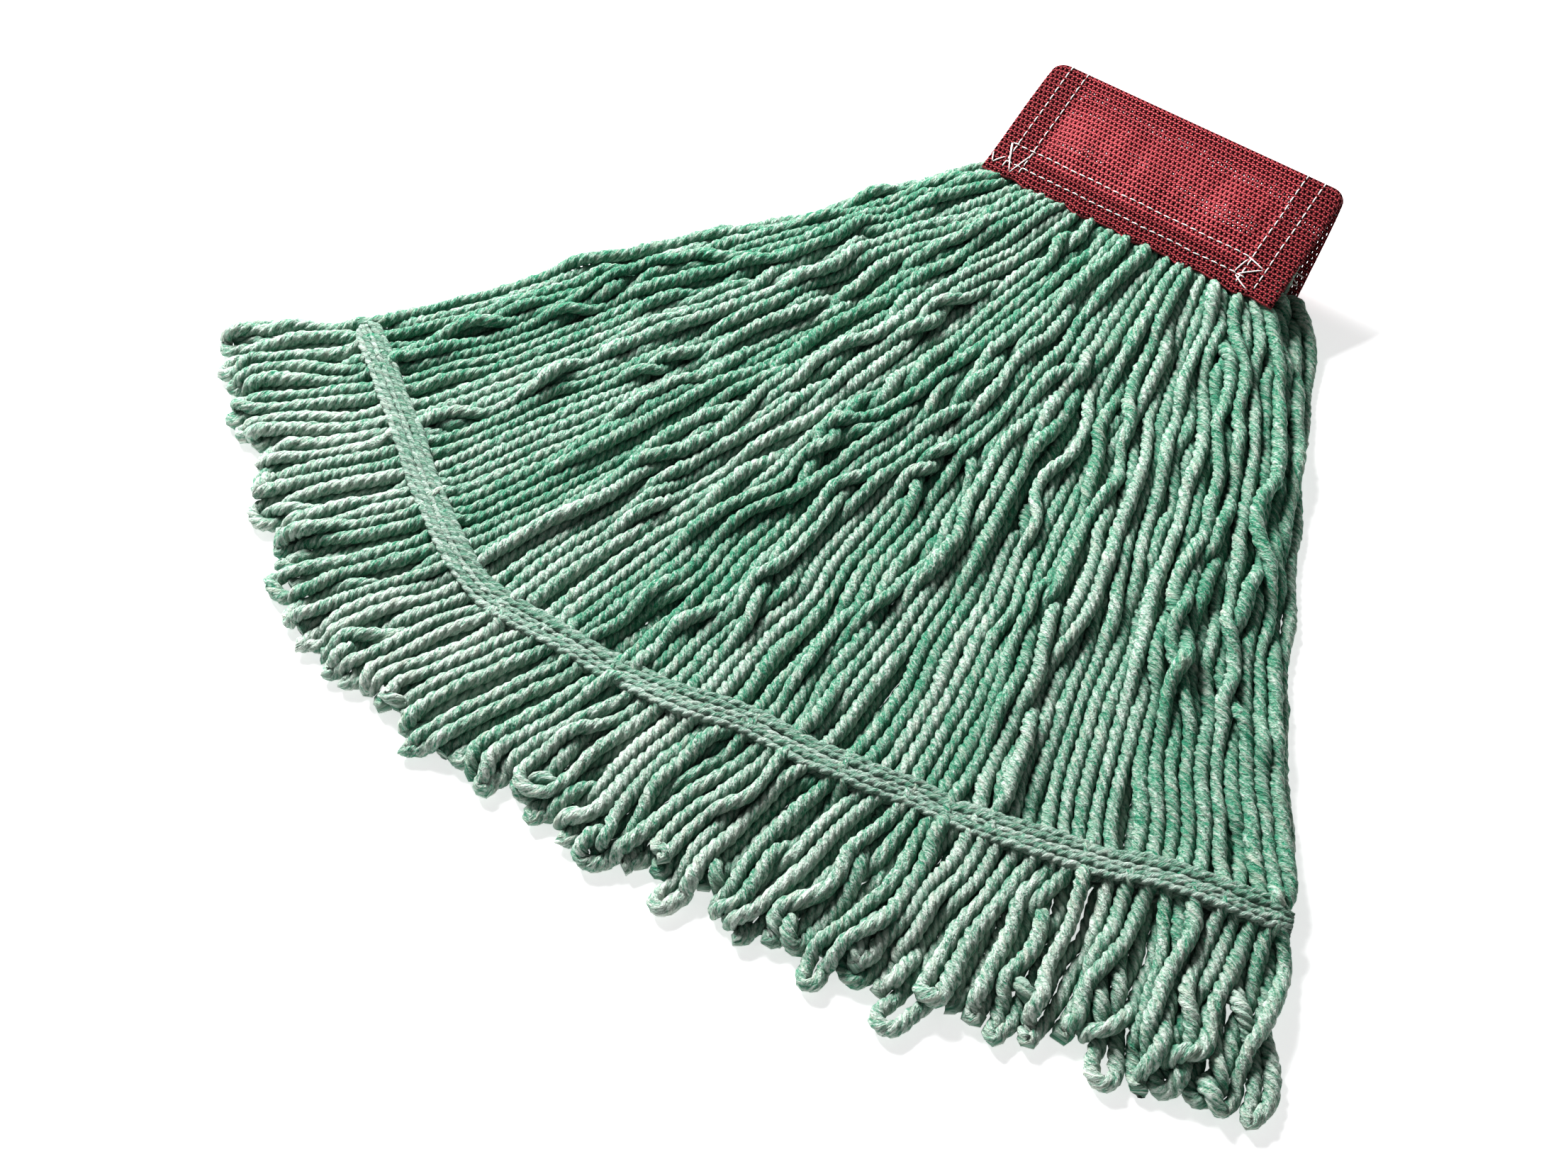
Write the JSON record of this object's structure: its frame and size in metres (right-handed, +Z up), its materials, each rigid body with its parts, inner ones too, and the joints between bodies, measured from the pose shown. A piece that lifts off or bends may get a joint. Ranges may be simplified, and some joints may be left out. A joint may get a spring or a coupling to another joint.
{
  "type": "looped-end string mop head",
  "caption": "Looped-end wet mop head: two fanned skeins of twisted yarn sewn under a folded mesh headband, with tail bands.",
  "frame": {"origin": "centre of the whole mop head's box, on the floor that it lies on", "axes": "+Y from the loop ends towards the headband, +Z up, +X to the right seen from the loop ends"},
  "size_m": [0.5682, 0.4594, 0.0492],
  "materials": {
    "yarn": "loose four-ply twisted blend yarn, matt",
    "tail_band": "ribbed cotton tape, matt",
    "headband": "open knitted polyester mesh, slight sheen",
    "facing": "knitted mesh tape, matt",
    "thread": "white sewing thread"
  },
  "bodies": {
    "back_skein": {"back_yarn_bundle_01": "yarn", "back_yarn_bundle_02": "yarn", "back_yarn_bundle_03": "yarn", "back_yarn_bundle_04": "yarn", "back_yarn_bundle_05": "yarn", "back_yarn_bundle_06": "yarn", "back_yarn_bundle_07": "yarn", "back_yarn_bundle_08": "yarn", "back_yarn_bundle_09": "yarn", "back_yarn_bundle_10": "yarn", "back_yarn_bundle_11": "yarn", "back_yarn_bundle_12": "yarn", "back_tail_band_lower": "tail_band", "back_tail_band_upper": "tail_band"},
    "back_band": {"headband_back_panel": "headband", "back_left_hem": "headband", "back_left_hem_thread_outer": "thread", "back_left_hem_thread_inner": "thread", "back_left_back_tack": "thread", "back_right_hem": "headband", "back_right_hem_thread_outer": "thread", "back_right_hem_thread_inner": "thread", "back_right_back_tack": "thread", "back_seam_edge": "headband", "back_seam_thread_upper": "thread", "back_seam_thread_lower": "thread", "back_sewn_yarn_ends": "yarn", "back_inner_facing": "facing"},
    "front_band": {"headband_front_panel": "headband", "front_left_hem": "headband", "front_left_hem_thread_outer": "thread", "front_left_hem_thread_inner": "thread", "front_left_back_tack": "thread", "front_right_hem": "headband", "front_right_hem_thread_outer": "thread", "front_right_hem_thread_inner": "thread", "front_right_back_tack": "thread", "front_seam_edge": "headband", "front_seam_thread_upper": "thread", "front_seam_thread_lower": "thread", "front_sewn_yarn_ends": "yarn", "front_inner_facing": "facing"},
    "front_skein": {"front_yarn_bundle_01": "yarn", "front_yarn_bundle_02": "yarn", "front_yarn_bundle_03": "yarn", "front_yarn_bundle_04": "yarn", "front_yarn_bundle_05": "yarn", "front_yarn_bundle_06": "yarn", "front_yarn_bundle_07": "yarn", "front_yarn_bundle_08": "yarn", "front_yarn_bundle_09": "yarn", "front_yarn_bundle_10": "yarn", "front_yarn_bundle_11": "yarn", "front_yarn_bundle_12": "yarn", "front_tail_band_lower": "tail_band", "front_tail_band_upper": "tail_band", "front_tail_band_stitch": "tail_band"}
  },
  "joints": [
    {"name": "back_seam", "type": "hinge", "parent": "back_skein", "child": "back_band", "pos_m": [0.01754, 0.19307, 0.00318], "axis": [-1, 0, 0], "range_deg": [0, 40]},
    {"name": "headband_fold", "type": "hinge", "parent": "back_band", "child": "front_band", "pos_m": [0.01754, 0.22909, 0.0479], "axis": [-1, 0, 0], "range_deg": [0, 145]},
    {"name": "front_seam", "type": "hinge", "parent": "front_band", "child": "front_skein", "pos_m": [0.01754, 0.16659, 0.02262], "axis": [-1, 0, 0], "range_deg": [0, 50]}
  ]
}
